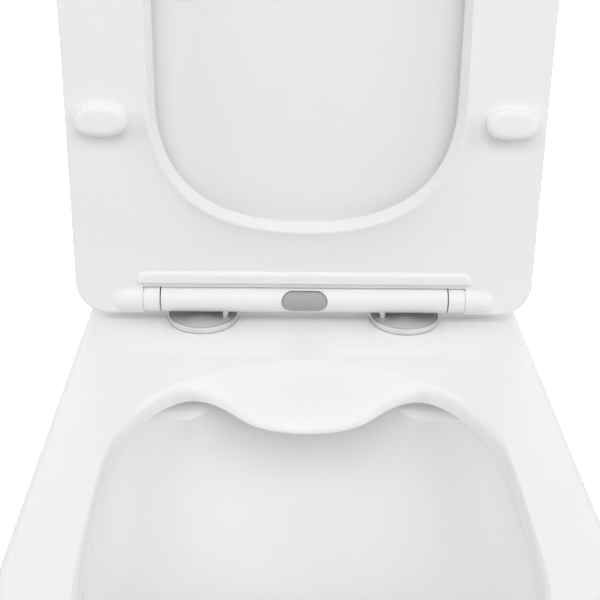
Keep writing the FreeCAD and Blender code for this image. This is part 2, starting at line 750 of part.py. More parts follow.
vane_start = (180 - open_angle) / 2
hub = axle(chamber_in + free_gap, cap_in - fit_gap, hub_radius)
for middle in (vane_start, vane_start + 180):
    hub = hub.fuse(ring_sector(chamber_in + free_gap, chamber_out - free_gap, hub_radius / 2,
                               damper_bore - free_gap, middle, damper_vane_angle))
seat_shaft = hub.fuse([axle(cap_in - fit_gap, seat_ear_in, shaft_radius),
                       flatted(seat_ear_in, seat_ear_out - fit_gap, shaft_radius, shaft_flats)])
lid_shaft = hub.fuse([axle(cap_in - fit_gap, lid_ear_in, shaft_radius),
                      flatted(lid_ear_in, lid_ear_out, shaft_radius, shaft_flats),
                      axle(lid_ear_out, seat_ear_out - fit_gap, pin_radius)])
save(seat_shaft, "seat_damper_shaft")
save(mirrored(lid_shaft), "lid_damper_shaft")

# Hinge bar

bar = axle(-bar_half_length, bar_half_length, bar_radius)
bar = bar.makeChamfer(bar_edge, bar.Edges[:1] + bar.Edges[2:])
bar = bar.cut(axle(-bar_half_length - overrun, bar_half_length + overrun, bar_bore_radius))
bar = bar.cut(button_frame(stadium(button_half_length, button_height, 0, bar_radius + overrun)))
post_cut = pillar(post_x, hinge_y, hinge_z - bar_radius - overrun, hinge_z, post_radius + fit_gap)
for cut in (post_cut, screw_hole, screw_sink):
    bar = bar.cut(cut).cut(mirrored(cut))
save(bar, "hinge_bar")

# Lid and seat are drawn closed, then swung up about the hinge axis


def raised(shape):
    shape = shape.copy()
    shape.rotate(axis_centre, along_x, -open_angle)
    return shape


def seat_outline(inset, rear, height):
    return d_shape(seat_width / 2 - inset, hinge_y + rear, hinge_y - seat_reach + inset,
                   seat_reach * seat_front_share, seat_front_fullness_share, seat_corner, hinge_z + height)


def seat_opening(grow, height):
    return oval(seat_opening_half_width + grow, hinge_y - seat_opening_rear + grow,
                hinge_y - seat_opening_front - grow, seat_opening_rear_round + grow,
                seat_opening_front_round + grow, seat_opening_rear_fullness_share,
                seat_opening_front_fullness_share, hinge_z + height)


ring = slab(seat_outline(0, seat_rear, seat_under), seat_thickness)
ring = ring.makeFillet(seat_top_radius, rim_edges(ring, hinge_z + seat_top))
ring = ring.makeFillet(seat_under_radius, rim_edges(ring, hinge_z + seat_under))
drip_low = seat_under - drip_lip_rise
drip_levels = [seat_opening(seat_opening_flare + drip_lip_width * grow, seat_under - drip_lip_rise * level)
               for grow, level in drip_lip_profile_shares]
opening_levels = [seat_opening(seat_opening_flare * grow, drip_low + (seat_top - drip_low) * level)
                  for grow, level in seat_opening_profile_shares]
drip_lip = Part.makeLoft(drip_levels, True)
ring = ring.fuse(drip_lip)
ring = ring.cut(Part.makeLoft(opening_levels, True))
ring = ring.cut(block(at(-seat_ear_in, notch_front, seat_under - overrun),
                      at(seat_ear_in, -seat_rear - overrun, seat_top + overrun)))
ridge_low = seat_under - ridge_rise
ridge = block(at(-ridge_half_length, ridge_rear, ridge_low),
              at(ridge_half_length, ridge_front, seat_under + ridge_rise))
ridge = ridge.makeFillet(ridge_end_round, [e for e in ridge.Edges if e.BoundBox.ZLength > ridge_rise
                                           and e.BoundBox.YMin < hinge_y - ridge_rear - fit_gap])
ridge = ridge.makeFillet(ridge_round, [e for e in rim_edges(ridge, hinge_z + ridge_low)
                                       if e.BoundBox.YMin < hinge_y - ridge_rear - fit_gap])
ridge = ridge.makeFillet(ridge_edge, [e for e in rim_edges(ridge, hinge_z + ridge_low)
                                      if e.BoundBox.YMin > hinge_y - ridge_rear - fit_gap])
ear = axle(seat_ear_in, seat_ear_out, bar_radius).fuse(Part.makeSphere(bar_radius, at(seat_ear_out, 0, 0)))
ear = ear.cut(block(at(0, -bar_radius, -bar_radius), at(seat_ear_in, bar_radius, bar_radius)))
ring = ring.fuse([ear, mirrored(ear)]).removeSplitter()
ear_feet = [e for e in rim_edges(ring, hinge_z + seat_under)
            if hinge_y - bar_radius < e.BoundBox.YMin < hinge_y + bar_radius
            and abs(e.BoundBox.Center.x) > seat_ear_in and e.BoundBox.XLength > ear_gap
            and abs(e.BoundBox.Center.x) < seat_ear_out + bar_radius]
ring = ring.makeFillet(seat_ear_blend, ear_feet)
ring = ring.fuse(ridge).removeSplitter()
buffer_places = [(side * x, reach) for side in (-1, 1)
                 for x, reach in ((buffer_rear_x, buffer_rear_reach), (buffer_front_x, buffer_front_reach))]
for x, reach in buffer_places:
    ring = ring.cut(rod(at(x, reach, seat_under - overrun), at(x, reach, seat_under + buffer_stem_length),
                        buffer_stem_radius))
ring = raised(ring)
ring = ring.cut(flatted(seat_ear_in - overrun, seat_ear_out, shaft_radius + running_gap,
                        shaft_flats + running_gap * 2))
ring = ring.cut(axle(-seat_ear_in + overrun, -seat_ear_out, pin_radius + running_gap))
save(ring, "seat_ring")

buffer_low = free_gap - hinge_above_deck
buffers = []
for x, reach in buffer_places:
    half = buffer_width / 2
    outline = oval(buffer_length / 2, hinge_y - reach + half, hinge_y - reach - half, half, half,
                   buffer_fullness_share, buffer_fullness_share, hinge_z + buffer_low)
    pad = slab(outline, seat_under - buffer_low)
    pad = pad.makeFillet(buffer_round, rim_edges(pad, hinge_z + buffer_low))
    pad.translate(along_x * x)
    pad = pad.fuse(rod(at(x, reach, seat_under), at(x, reach, seat_under + buffer_stem_length - fit_gap),
                       buffer_stem_radius - running_gap))
    buffers.append(raised(pad.cut(drip_lip)))
save(Part.makeCompound(buffers), "seat_buffers")

lid = slab(seat_outline(0, seat_rear, lid_under), lid_thickness)
lid = lid.makeFillet(lid_top_radius, rim_edges(lid, hinge_z + lid_top))
lid = lid.makeFillet(lid_under_radius, rim_edges(lid, hinge_z + lid_under))
recess_levels = [seat_outline(lid_recess_inset * inset, -lid_recess_rear - lid_recess_inset * inset,
                              lid_under + lid_recess_depth * level)
                 for inset, level in lid_recess_profile_shares]
lid = lid.cut(Part.makeLoft(recess_levels, True))
lid_ear = axle(lid_ear_in, lid_ear_out, bar_radius)
lid_ear = lid_ear.fuse(block(at(lid_ear_in, -lid_ear_web / 2, 0),
                             at(lid_ear_out, lid_ear_web / 2, lid_under + lid_under_radius)))
lid = lid.fuse([lid_ear, mirrored(lid_ear)]).removeSplitter()
pad_places = [(side * lid_pad_x, reach) for side in (-1, 1) for reach in lid_pad_reaches]
for x, reach in pad_places:
    lid = lid.cut(rod(at(x, reach, lid_under - overrun), at(x, reach, lid_under + lid_pad_stem_length),
                      lid_pad_stem_radius))
lid = raised(lid)
lid = lid.cut(flatted(-lid_ear_out - overrun, -lid_ear_in + overrun, shaft_radius + running_gap,
                      shaft_flats + running_gap * 2))
lid = lid.cut(axle(lid_ear_in - overrun, lid_ear_out + overrun, shaft_radius + running_gap))
save(lid, "lid")

pads = []
for x, reach in pad_places:
    pad = rod(at(x, reach, seat_top + free_gap), at(x, reach, lid_under), lid_pad_radius)
    pad = pad.fuse(rod(at(x, reach, lid_under), at(x, reach, lid_under + lid_pad_stem_length - fit_gap),
                       lid_pad_stem_radius - running_gap))
    pads.append(raised(pad))
save(Part.makeCompound(pads), "lid_pads")
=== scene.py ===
import bmesh
import bpy
import math
from mathutils import Matrix, Vector


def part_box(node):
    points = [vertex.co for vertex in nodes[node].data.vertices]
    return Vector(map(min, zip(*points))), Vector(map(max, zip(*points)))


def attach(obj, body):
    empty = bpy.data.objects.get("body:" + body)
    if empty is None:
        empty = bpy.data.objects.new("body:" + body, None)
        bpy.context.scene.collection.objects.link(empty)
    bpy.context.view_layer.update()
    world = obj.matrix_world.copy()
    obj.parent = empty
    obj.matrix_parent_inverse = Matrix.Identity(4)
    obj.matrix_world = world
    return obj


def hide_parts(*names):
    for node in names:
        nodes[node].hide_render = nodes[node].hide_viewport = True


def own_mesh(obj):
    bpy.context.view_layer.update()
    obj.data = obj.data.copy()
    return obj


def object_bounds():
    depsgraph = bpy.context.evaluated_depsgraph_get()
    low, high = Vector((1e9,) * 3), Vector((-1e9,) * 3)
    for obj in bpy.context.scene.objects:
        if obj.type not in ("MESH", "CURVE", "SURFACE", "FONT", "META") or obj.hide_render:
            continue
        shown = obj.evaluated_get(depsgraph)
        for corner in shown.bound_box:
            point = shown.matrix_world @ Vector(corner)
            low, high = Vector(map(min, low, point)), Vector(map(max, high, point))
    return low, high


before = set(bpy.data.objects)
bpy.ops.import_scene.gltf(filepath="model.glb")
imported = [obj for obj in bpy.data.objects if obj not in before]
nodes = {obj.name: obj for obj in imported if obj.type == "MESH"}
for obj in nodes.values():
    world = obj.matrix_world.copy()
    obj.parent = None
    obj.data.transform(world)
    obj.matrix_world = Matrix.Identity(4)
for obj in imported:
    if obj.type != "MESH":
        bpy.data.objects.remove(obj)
cadBox = [list(corner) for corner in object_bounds()]  # the CAD box, before anything is added
print("frame loaded with", len(nodes), "nodes")

# camera at the photographer's place, in metres and degrees, lens and sensor in millimetres

cameraSettings = {
    "place": (-0.0165, -0.8034, 0.4721),
    "lens": 62.29,
    "sensor": 36.0,
    "nearest": 0.02,
    "tiltDown": 27.496,
    "turnRight": 1.059,
    "roll": 0.895,
}


def placeCamera(settings):
    data = bpy.data.cameras.new("photoCamera")
    data.lens = settings["lens"]
    data.sensor_width = settings["sensor"]
    data.clip_start = settings["nearest"]
    camera = bpy.data.objects.new("photoCamera", data)
    bpy.context.scene.collection.objects.link(camera)
    turn = Matrix.Rotation(math.radians(-settings["turnRight"]), 4, "Z")
    tilt = Matrix.Rotation(math.radians(90.0 - settings["tiltDown"]), 4, "X")
    roll = Matrix.Rotation(math.radians(settings["roll"]), 4, "Z")
    camera.matrix_world = Matrix.Translation(settings["place"]) @ turn @ tilt @ roll
    bpy.context.scene.camera = camera


placeCamera(cameraSettings)
print("camera placed")

# studio: even white surround, soft lamps and a pale floor

studioSettings = {
    "surround": 0.02,
    "mirrored": 1.0,  # what shiny pieces see of the white room
    "floorDrop": 0.07,  # gap under a wall-hung pan
    "floorSize": 6.0,
    "floorColor": (0.86, 0.86, 0.86, 1.0),
    "floorRoughness": 0.8,
    "floorLift": (0.3, 1.0),  # near and far, seen but casting no light, so the floor reads as white
    "floorMirrored": 0.2,  # the same lift for shiny pieces
    "liftReach": (0.45, 1.3),  # where near ends and far begins
    "lampAim": (0.0, -0.25, 0.1),  # over the middle of the pan, for lamps with no aim of their own
}

lamps = {
    "frontPanel": {"place": (0.0, -2.2, 2.2), "size": (3.2, 1.8), "power": 49.0},
    "frontRight": {"place": (1.9, -1.9, 1.5), "size": (2.0, 1.6), "power": 9.0},
    "overhead": {"place": (0.0, -0.6, 2.4), "size": (2.4, 2.0), "power": 7.0},
    "rightPanel": {"place": (2.2, -0.6, 1.2), "size": (2.0, 1.6), "power": 20.0},
    "leftPanel": {"place": (-2.2, -0.6, 1.2), "size": (2.0, 1.6), "power": 24.0},
    "rearPanel": {"place": (0.0, 2.2, 1.5), "aim": (0.0, -0.05, 0.2), "size": (3.0, 1.6), "power": 35.0},
}


def mathNode(tree, operation, first, second=0.0):
    node = tree.nodes.new("ShaderNodeMath")
    node.operation = operation
    for i, value in enumerate((first, second)):
        if isinstance(value, (int, float)):
            node.inputs[i].default_value = value
        else:
            tree.links.new(value, node.inputs[i])
    return node.outputs["Value"]


def rampNode(tree, value, span, ends=(0.0, 1.0)):
    ramp = tree.nodes.new("ShaderNodeMapRange")  # from one end to the other over the span, level outside it
    ramp.inputs["From Min"].default_value, ramp.inputs["From Max"].default_value = span
    ramp.inputs["To Min"].default_value, ramp.inputs["To Max"].default_value = ends
    tree.links.new(value, ramp.inputs["Value"])
    return ramp.outputs["Result"]


def buildSurround(settings):
    world = bpy.data.worlds.new("whiteSurround")
    bpy.context.scene.world = world
    world.use_nodes = True
    tree = world.node_tree
    white = tree.nodes["Background"]
    white.inputs["Color"].default_value = (1.0, 1.0, 1.0, 1.0)
    path = tree.nodes.new("ShaderNodeLightPath")
    mirrored = mathNode(tree, "MULTIPLY", path.outputs["Is Glossy Ray"], settings["mirrored"])
    seen = mathNode(tree, "MAXIMUM", path.outputs["Is Camera Ray"], mirrored)
    tree.links.new(mathNode(tree, "MAXIMUM", seen, settings["surround"]), white.inputs["Strength"])


def buildFloor(settings):
    bpy.ops.mesh.primitive_plane_add(size=settings["floorSize"])
    floor = bpy.context.object
    floor.name = "studioFloor"
    floor.data.transform(Matrix.Translation((0.0, 0.0, cadBox[0][2] - settings["floorDrop"])))
    material = bpy.data.materials.new("studioFloor")
    material.use_nodes = True
    tree = material.node_tree
    shader = tree.nodes["Principled BSDF"]
    shader.inputs["Base Color"].default_value = settings["floorColor"]
    shader.inputs["Roughness"].default_value = settings["floorRoughness"]
    glow = tree.nodes.new("ShaderNodeEmission")
    path = tree.nodes.new("ShaderNodeLightPath")
    place = tree.nodes.new("ShaderNodeTexCoord")
    away = tree.nodes.new("ShaderNodeVectorMath")
    away.operation = "LENGTH"
    tree.links.new(place.outputs["Object"], away.inputs[0])
    lift = rampNode(tree, away.outputs["Value"], settings["liftReach"], settings["floorLift"])
    seen = mathNode(tree, "MULTIPLY", path.outputs["Is Camera Ray"], lift)
    mirrored = mathNode(tree, "MULTIPLY", path.outputs["Is Glossy Ray"], settings["floorMirrored"])
    tree.links.new(mathNode(tree, "MAXIMUM", seen, mirrored), glow.inputs["Strength"])
    add = tree.nodes.new("ShaderNodeAddShader")
    tree.links.new(shader.outputs["BSDF"], add.inputs[0])
    tree.links.new(glow.outputs["Emission"], add.inputs[1])
    tree.links.new(add.outputs["Shader"], tree.nodes["Material Output"].inputs["Surface"])
    floor.data.materials.append(material)


def hangLamps(lampTable, usualAim):
    for name, lamp in lampTable.items():
        data = bpy.data.lights.new(name, "AREA")
        data.shape = "RECTANGLE"
        data.size, data.size_y = lamp["size"]
        data.energy = lamp["power"]
        light = bpy.data.objects.new(name, data)
        light.visible_glossy = False  # shiny pieces mirror the white room, not the lamps
        bpy.context.scene.collection.objects.link(light)
        look = Vector(lamp.get("aim", usualAim)) - Vector(lamp["place"])
        turn = look.to_track_quat("-Z", "Y").to_matrix().to_4x4()
        light.matrix_world = Matrix.Translation(lamp["place"]) @ turn


buildSurround(studioSettings)
buildFloor(studioSettings)
hangLamps(lamps, studioSettings["lampAim"])
bpy.context.scene.view_settings.view_transform = "Standard"
print("studio built")

# shared surface effects


def startGroup(name, numbers):
    group = bpy.data.node_groups.new(name, "ShaderNodeTree")
    group.interface.new_socket("Vector", in_out="INPUT", socket_type="NodeSocketVector")
    group.interface.new_socket("Tint", in_out="INPUT", socket_type="NodeSocketColor")
    for label, value in numbers.items():
        socket = group.interface.new_socket(label, in_out="INPUT", socket_type="NodeSocketFloat")
        socket.default_value = value
    group.interface.new_socket("Color", in_out="OUTPUT", socket_type="NodeSocketColor")
    for label in ("Roughness", "Height"):
        group.interface.new_socket(label, in_out="OUTPUT", socket_type="NodeSocketFloat")
    return group, group.nodes.new("NodeGroupInput"), group.nodes.new("NodeGroupOutput")


def endGroup(group, leave, color, rough, height):
    for label, value in (("Color", color), ("Roughness", rough), ("Height", height)):
        group.links.new(value, leave.inputs[label])


def noiseNode(tree, vector, scale, detail, roughness=0.5):
    noise = tree.nodes.new("ShaderNodeTexNoise")
    noise.inputs["Detail"].default_value = detail
    noise.inputs["Roughness"].default_value = roughness
    tree.links.new(vector, noise.inputs["Vector"])
    if isinstance(scale, (int, float)):
        noise.inputs["Scale"].default_value = scale
    else:
        tree.links.new(scale, noise.inputs["Scale"])
    return noise.outputs["Fac"]


def shadeTint(tree, tint, mask, amount):
    keep = mathNode(tree, "SUBTRACT", 1.0, mathNode(tree, "MULTIPLY", mask, amount))
    mix = tree.nodes.new("ShaderNodeMix")  # the tint, darker where the mask is high
    mix.data_type = "RGBA"
    mix.blend_type = "MULTIPLY"
    mix.inputs["Factor"].default_value = 1.0
    tree.links.new(tint, mix.inputs["A"])
    tree.links.new(keep, mix.inputs["B"])
    return mix.outputs["Result"]


def roughen(tree, base, mask, amount):
    return mathNode(tree, "ADD", base, mathNode(tree, "MULTIPLY", mask, amount))


glossGrain = {
    "cloudDetail": 3.0,
    "smearScale": 31.0, "smearDetail": 4.0, "smearRoughness": 0.6,
    "rippleDetail": 1.0,
}


def makeGlossSkin(grain):
    group, enter, leave = startGroup(
        "glossSkin",
        {"Cloud Scale": 9.0, "Cloud Amount": 0.02, "Roughness": 0.1, "Smear": 0.05, "Ripple Scale": 140.0},
    )
    vector = enter.outputs["Vector"]
    cloud = noiseNode(group, vector, enter.outputs["Cloud Scale"], grain["cloudDetail"])
    color = shadeTint(group, enter.outputs["Tint"], cloud, enter.outputs["Cloud Amount"])
    smear = noiseNode(group, vector, grain["smearScale"], grain["smearDetail"], grain["smearRoughness"])
    rough = roughen(group, enter.outputs["Roughness"], smear, enter.outputs["Smear"])
    ripple = noiseNode(group, vector, enter.outputs["Ripple Scale"], grain["rippleDetail"])
    endGroup(group, leave, color, rough, ripple)
    return group


metalGrain = {"streakDetail": 3.0, "streakRoughness": 0.65, "wearScale": 23.0, "wearDetail": 3.0}


def makeMetalSkin(grain):
    group, enter, leave = startGroup(
        "metalSkin",
        {"Streak Scale": 60.0, "Streak Amount": 0.25, "Roughness": 0.3, "Wear": 0.1},
    )
    vector = enter.outputs["Vector"]
    scale = enter.outputs["Streak Scale"]
    streak = noiseNode(group, vector, scale, grain["streakDetail"], grain["streakRoughness"])
    color = shadeTint(group, enter.outputs["Tint"], streak, enter.outputs["Streak Amount"])
    wear = noiseNode(group, vector, grain["wearScale"], grain["wearDetail"])
    rough = roughen(group, enter.outputs["Roughness"], wear, enter.outputs["Wear"])
    endGroup(group, leave, color, rough, streak)
    return group


mattGrain = {
    "blotchScale": 55.0, "blotchDetail": 4.0, "blotchRoughness": 0.6,
    "grainDetail": 2.0, "grainSpread": 0.12,
}


def makeMattSkin(grain):
    group, enter, leave = startGroup(
        "mattSkin",
        {"Grain Scale": 1500.0, "Blotch Amount": 0.1, "Roughness": 0.55},
    )
    vector = enter.outputs["Vector"]
    blotch = noiseNode(group, vector, grain["blotchScale"], grain["blotchDetail"], grain["blotchRoughness"])
    color = shadeTint(group, enter.outputs["Tint"], blotch, enter.outputs["Blotch Amount"])
    fine = noiseNode(group, vector, enter.outputs["Grain Scale"], grain["grainDetail"])
    rough = roughen(group, enter.outputs["Roughness"], fine, grain["grainSpread"])
    endGroup(group, leave, color, rough, fine)
    return group


glossSkin = makeGlossSkin(glossGrain)  # glaze and polished plastic
metalSkin = makeMetalSkin(metalGrain)  # brushed, plated and drawn metal
mattSkin = makeMattSkin(mattGrain)  # moulded plastic, rubber and bare biscuit
print("surface groups built")


def newMaterial(name):
    material = bpy.data.materials.new(name)
    material.use_nodes = True
    tree = material.node_tree
    place = tree.nodes.new("ShaderNodeTexCoord")
    return material, tree, tree.nodes["Principled BSDF"], place.outputs["Object"]


def addBump(tree, shader, height, strength, distance):
    bump = tree.nodes.new("ShaderNodeBump")
    bump.inputs["Strength"].default_value = strength
    bump.inputs["Distance"].default_value = distance
    tree.links.new(height, bump.inputs["Height"])
    tree.links.new(bump.outputs["Normal"], shader.inputs["Normal"])


def useGroup(tree, group, vector, tint, values):
    node = tree.nodes.new("ShaderNodeGroup")
    node.node_tree = group
    tree.links.new(vector, node.inputs["Vector"])
    node.inputs["Tint"].default_value = (*tint, 1.0)
    for label, value in values.items():
        node.inputs[label].default_value = value
    return node


def mapAround(tree, place, middle):
    shift = tree.nodes.new("ShaderNodeMapping")  # measured from the piece's own middle
    shift.inputs["Location"].default_value = [-value for value in middle]
    tree.links.new(place, shift.inputs["Vector"])
    return shift.outputs["Vector"]


def splitVector(tree, vector):
    parts = tree.nodes.new("ShaderNodeSeparateXYZ")
    tree.links.new(vector, parts.inputs["Vector"])
    return parts.outputs["X"], parts.outputs["Y"], parts.outputs["Z"]


def joinVector(tree, values):
    parts = tree.nodes.new("ShaderNodeCombineXYZ")
    for label, value in zip("XYZ", values):
        if isinstance(value, (int, float)):
            parts.inputs[label].default_value = value
        else:
            tree.links.new(value, parts.inputs[label])
    return parts.outputs["Vector"]


def mixValue(tree, factor, first, second):
    mix = tree.nodes.new("ShaderNodeMix")
    tree.links.new(factor, mix.inputs["Factor"])
    for label, value in (("A", first), ("B", second)):
        if isinstance(value, (int, float)):
            mix.inputs[label].default_value = value
        else:
            tree.links.new(value, mix.inputs[label])
    return mix.outputs["Result"]


def mixColor(tree, factor, first, second):
    mix = tree.nodes.new("ShaderNodeMix")
    mix.data_type = "RGBA"
    tree.links.new(factor, mix.inputs["Factor"])
    tree.links.new(first, mix.inputs["A"])
    tree.links.new(second, mix.inputs["B"])
    return mix.outputs["Result"]


def lengthNode(tree, first, second):
    squares = [mathNode(tree, "MULTIPLY", side, side) for side in (first, second)]
    return mathNode(tree, "SQRT", mathNode(tree, "ADD", *squares))


def skinInto(tree, shader, skin, finish):
    tree.links.new(skin.outputs["Color"], shader.inputs["Base Color"])
    tree.links.new(skin.outputs["Roughness"], shader.inputs["Roughness"])
    addBump(tree, shader, skin.outputs["Height"], finish["bump"], finish["bumpDepth"])


def glossFinish(name, finish):
    material, tree, shader, place = newMaterial(name)
    skinInto(tree, shader, useGroup(tree, glossSkin, place, finish["tint"], finish["skin"]), finish)
    return material


def mattFinish(name, finish):
    material, tree, shader, place = newMaterial(name)
    skinInto(tree, shader, useGroup(tree, mattSkin, place, finish["tint"], finish["skin"]), finish)
    shader.inputs["Specular IOR Level"].default_value = finish["shine"]
    return material


# a matt finish with painted shade along the button's upper edge, where the gap round it shadows it
def gapShadedFinish(name, finish):
    material, tree, shader, place = newMaterial(name)
    skin = useGroup(tree, mattSkin, place, finish["tint"], finish["skin"])
    skinInto(tree, shader, skin, finish)
    shader.inputs["Specular IOR Level"].default_value = finish["shine"]
    x, y, z = splitVector(tree, mapAround(tree, place, finish["middle"]))
    rises = [mathNode(tree, "MULTIPLY", side, share) for side, share in zip((y, z), finish["upward"])]
    up = mathNode(tree, "ADD", *rises)
    along = mathNode(tree, "SUBTRACT", mathNode(tree, "ABSOLUTE", x), finish["straight"])
    reach = lengthNode(tree, mathNode(tree, "MAXIMUM", along, 0.0), up)
    edge = rampNode(tree, reach, finish["edge"])  # painted shade, darker towards the gap round the button
    # the painted shade covers only the upper half, where the gap's upper rim shadows the button from the light
    # above
    mask = mathNode(tree, "MULTIPLY", edge, rampNode(tree, up, finish["upperHalf"]))
    color = shadeTint(tree, skin.outputs["Color"], mask, finish["gapShadeDepth"])
    tree.links.new(color, shader.inputs["Base Color"])
    return material


def metalFinish(name, finish):
    material, tree, shader, place = newMaterial(name)
    along = tree.nodes.new("ShaderNodeMapping")  # stretches the grain along one direction
    along.inputs["Scale"].default_value = finish["stretch"]
    tree.links.new(place, along.inputs["Vector"])
    skin = useGroup(tree, metalSkin, along.outputs["Vector"], finish["tint"], finish["skin"])
    skinInto(tree, shader, skin, finish)
    shader.inputs["Metallic"].default_value = 1.0
    return material


def spunFinish(name, finish):
    material, tree, shader, place = newMaterial(name)
    x, y, z = splitVector(tree, mapAround(tree, place, finish["middle"]))
    radius = lengthNode(tree, x, y)
    turn = mathNode(tree, "MULTIPLY", mathNode(tree, "ARCTAN2", y, x), finish["ringDrift"])
    rings = joinVector(tree, (radius, turn, 0.0))
    skin = useGroup(tree, metalSkin, rings, finish["tint"], finish["skin"])
    skinInto(tree, shader, skin, finish)
    away = mathNode(tree, "ABSOLUTE", mathNode(tree, "SUBTRACT", radius, finish["rimRadius"]))
    line = rampNode(tree, away, (finish["rimLine"], 0.0))  # painted shade of the rim groove, full on the rim radius, gone a line's width away
    foot = mathNode(tree, "LESS_THAN", z, finish["footTop"])  # painted contact shade where the disc stands on the deck
    mask = mathNode(tree, "MAXIMUM", line, foot)
    color = shadeTint(tree, skin.outputs["Color"], mask, finish["rimShadeDepth"])
    tree.links.new(color, shader.inputs["Base Color"])
    onRim = mathNode(tree, "GREATER_THAN", radius, finish["rimRadius"])
    rough = mixValue(tree, onRim, skin.outputs["Roughness"], finish["rimRoughness"])
    tree.links.new(rough, shader.inputs["Roughness"])
    shader.inputs["Metallic"].default_value = 1.0
    shader.inputs["Anisotropic"].default_value = finish["spin"]
    outward = joinVector(tree, (x, y, finish["grainRise"]))  # never quite along the side wall's normal
    tree.links.new(outward, shader.inputs["Tangent"])
    return material


def rawMask(tree, place, finish):
    coords = tree.nodes.new("ShaderNodeTexCoord")  # bare clay: faces of the hollow, and those on the wall
    facing = tree.nodes.new("ShaderNodeVectorMath")
    facing.operation = "DOT_PRODUCT"
    tree.links.new(mapAround(tree, place, finish["middle"]), facing.inputs[0])
    tree.links.new(coords.outputs["Normal"], facing.inputs[1])
    y, z = splitVector(tree, place)[1:]
    turned = mathNode(tree, "MULTIPLY", facing.outputs["Value"], finish["rawSide"])
    inside = mathNode(tree, "GREATER_THAN", turned, 0.0)
    hidden = mathNode(tree, "MULTIPLY", inside, mathNode(tree, "LESS_THAN", z, finish["rawBelow"]))
    return mathNode(tree, "MAXIMUM", hidden, mathNode(tree, "GREATER_THAN", y, finish["rawFrom"]))


def chinaFinish(name, finish):
    material, tree, shader, place = newMaterial(name)
    glaze = useGroup(tree, glossSkin, place, finish["tint"], finish["skin"])
    biscuit = useGroup(tree, mattSkin, place, finish["biscuit"], finish["biscuitSkin"])
    raw = rawMask(tree, place, finish)
    color = mixColor(tree, raw, glaze.outputs["Color"], biscuit.outputs["Color"])
    rough = mixValue(tree, raw, glaze.outputs["Roughness"], biscuit.outputs["Roughness"])
    height = mixValue(tree, raw, glaze.outputs["Height"], biscuit.outputs["Height"])
    tree.links.new(color, shader.inputs["Base Color"])
    tree.links.new(rough, shader.inputs["Roughness"])
    tree.links.new(mixValue(tree, raw, finish["coat"], 0.0), shader.inputs["Coat Weight"])
    shader.inputs["Coat Roughness"].default_value = finish["coatRoughness"]
    addBump(tree, shader, height, finish["bump"], finish["bumpDepth"])
    return material


# finishes, one dictionary per surface, each with the nodes that wear it

china = {
    "tint": (0.92, 0.92, 0.92), "coat": 0.5, "coatRoughness": 0.04, "bump": 0.04, "bumpDepth": 0.0004,
    "skin": {"Roughness": 0.12, "Smear": 0.05, "Cloud Scale": 5.0, "Cloud Amount": 0.02, "Ripple Scale": 85.0},
    "biscuit": (0.78, 0.76, 0.71), "rawFrom": -0.0005,
    "biscuitSkin": {"Roughness": 0.7, "Blotch Amount": 0.12, "Grain Scale": 900.0},
}

chinaPieces = {
    "shellGlaze": {"nodes": ("pan_shell",), "middle": (0.0, -0.25, -0.06), "rawSide": -1.0, "rawBelow": 0.066},
    # the bowl wears the same glaze as the shell, painted lighter: its brighter tint is painted light that
    # makes up for the shade inside the bowl
    "bowlGlaze": {"nodes": ("pan_bowl",), "middle": (0.0, -0.31, -0.02), "rawSide": 1.0, "rawBelow": 0.05,
                  "tint": (0.96, 0.96, 0.96)},
}

glossPlastic = {"tint": (0.9, 0.9, 0.9), "bump": 0.03, "bumpDepth": 0.0003}

glossPieces = {
    "seatGloss": {"nodes": ("seat_ring",),
                  "skin": {"Roughness": 0.17, "Smear": 0.06, "Cloud Amount": 0.015, "Ripple Scale": 160.0}},
    "lidGloss": {"nodes": ("lid",),
                 "skin": {"Roughness": 0.17, "Smear": 0.06, "Cloud Amount": 0.015, "Ripple Scale": 150.0}},
    "barGloss": {"nodes": ("hinge_bar",), "bumpDepth": 0.0002,
                 "skin": {"Roughness": 0.2, "Smear": 0.08, "Cloud Scale": 30.0, "Cloud Amount": 0.02,
                          "Ripple Scale": 300.0}},
    "capGloss": {"nodes": ("access_cap_left", "access_cap_right"),
                 "tint": (0.92, 0.92, 0.92), "bumpDepth": 0.0002,
                 "skin": {"Roughness": 0.2, "Smear": 0.1, "Cloud Scale": 60.0, "Ripple Scale": 400.0}},
}

mattPieces = {
    "bareClay": {"nodes": ("pan_trap", "flush_channel"), "tint": (0.78, 0.76, 0.71),
                 "shine": 0.3, "bump": 0.1, "bumpDepth": 0.0003,
                 "skin": {"Roughness": 0.7, "Blotch Amount": 0.12, "Grain Scale": 900.0}},
    "bufferRubber": {"nodes": ("seat_buffers", "lid_pads"), "tint": (0.92, 0.92, 0.92),
                     "shine": 0.35, "bump": 0.05, "bumpDepth": 0.0002,
                     "skin": {"Roughness": 0.38, "Blotch Amount": 0.03, "Grain Scale": 1800.0}},
    "sealRubber": {"nodes": ("hinge_gaskets", "deck_plugs", "damper_seals", "inlet_seal"),
                   "tint": (0.035, 0.035, 0.036), "shine": 0.3, "bump": 0.2, "bumpDepth": 0.0002,
                   "skin": {"Roughness": 0.6, "Grain Scale": 1400.0}},
    "sleevePlastic": {"nodes": ("stud_sleeves",), "tint": (0.72, 0.72, 0.7),
                      "shine": 0.4, "bump": 0.1, "bumpDepth": 0.0002, "skin": {"Roughness": 0.45}},
    "damperPlastic": {"nodes": ("damper_housing_left", "damper_housing_right", "damper_caps"),
                      "tint": (0.46, 0.46, 0.47), "shine": 0.4, "bump": 0.1, "bumpDepth": 0.0002,
                      "skin": {"Roughness": 0.45}},
}

# the button's upper edge carries painted shade from the gap round it
gapShadedPieces = {
    "buttonSatin": {"nodes": ("release_button",), "tint": (0.42, 0.42, 0.42),
                    "shine": 0.4, "bump": 0.12, "bumpDepth": 0.0001,
                    "skin": {"Roughness": 0.36, "Blotch Amount": 0.06, "Grain Scale": 2600.0},
                    "middle": (0.0, -0.09, 0.102), "upward": (0.208, 0.978), "straight": 0.0096,
                    "edge": (0.0066, 0.0077), "upperHalf": (-0.004, 0.002), "gapShadeDepth": 0.55},
}

